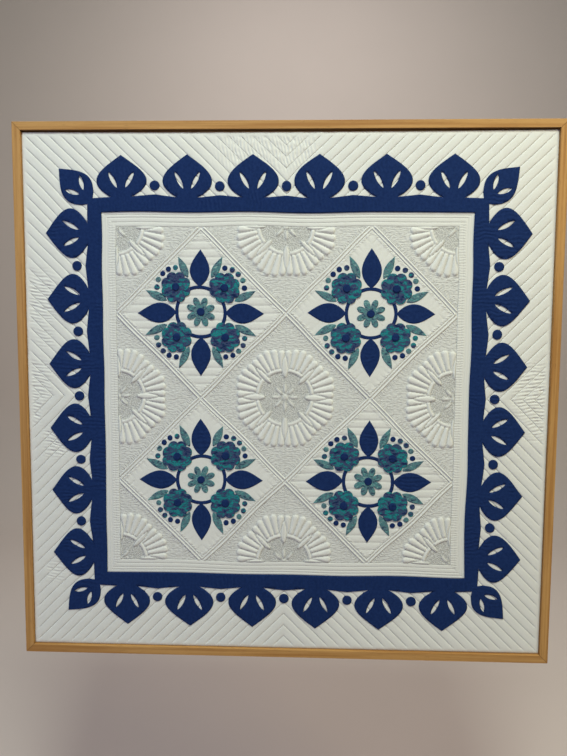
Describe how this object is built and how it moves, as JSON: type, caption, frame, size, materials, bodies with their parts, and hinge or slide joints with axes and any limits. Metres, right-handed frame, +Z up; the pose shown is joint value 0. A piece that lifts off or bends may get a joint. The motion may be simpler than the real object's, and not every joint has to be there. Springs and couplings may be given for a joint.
{
  "type": "tivaevae applique quilt in a wooden tray frame",
  "caption": "Square applique quilt with a navy leaf border, flower wreaths and raised quilting, held in a mitred wooden tray frame that hangs on a wall.",
  "frame": {"origin": "middle of the upper rail's back face, where the frame meets the wall", "axes": "+X to the viewer's right, +Y into the wall, +Z up"},
  "size_m": [1.37, 0.0285, 1.3699],
  "materials": {
    "oak": "satin clear-lacquered light oak",
    "white_cotton": "white plain-weave cotton, closely quilted",
    "navy_cotton": "navy plain-weave cotton",
    "teal_batik": "mottled teal hand-dyed cotton",
    "slate_batik": "mottled slate-blue hand-dyed cotton"
  },
  "bodies": {
    "root": {"dot_bottom_1": "navy_cotton", "dot_bottom_2": "navy_cotton", "dot_bottom_3": "navy_cotton", "dot_bottom_4": "navy_cotton", "dot_bottom_5": "navy_cotton", "dot_left_1": "navy_cotton", "dot_left_2": "navy_cotton", "dot_left_3": "navy_cotton", "dot_left_4": "navy_cotton", "dot_left_5": "navy_cotton", "dot_right_1": "navy_cotton", "dot_right_2": "navy_cotton", "dot_right_3": "navy_cotton", "dot_right_4": "navy_cotton", "dot_right_5": "navy_cotton", "dot_top_1": "navy_cotton", "dot_top_2": "navy_cotton", "dot_top_3": "navy_cotton", "dot_top_4": "navy_cotton", "dot_top_5": "navy_cotton", "navy_border": "navy_cotton", "quilt": "white_cotton", "rail_bottom": "oak", "rail_left": "oak", "rail_right": "oak", "rail_top": "oak", "rose_ne_1": "teal_batik", "rose_ne_2": "teal_batik", "rose_ne_3": "teal_batik", "rose_ne_4": "teal_batik", "rose_nw_1": "teal_batik", "rose_nw_2": "teal_batik", "rose_nw_3": "teal_batik", "rose_nw_4": "teal_batik", "rose_se_1": "teal_batik", "rose_se_2": "teal_batik", "rose_se_3": "teal_batik", "rose_se_4": "teal_batik", "rose_sw_1": "teal_batik", "rose_sw_2": "teal_batik", "rose_sw_3": "teal_batik", "rose_sw_4": "teal_batik", "rosette_ne": "slate_batik", "rosette_nw": "slate_batik", "rosette_se": "slate_batik", "rosette_sw": "slate_batik", "wreath_ne": "navy_cotton", "wreath_nw": "navy_cotton", "wreath_se": "navy_cotton", "wreath_sw": "navy_cotton"}
  },
  "joints": []
}
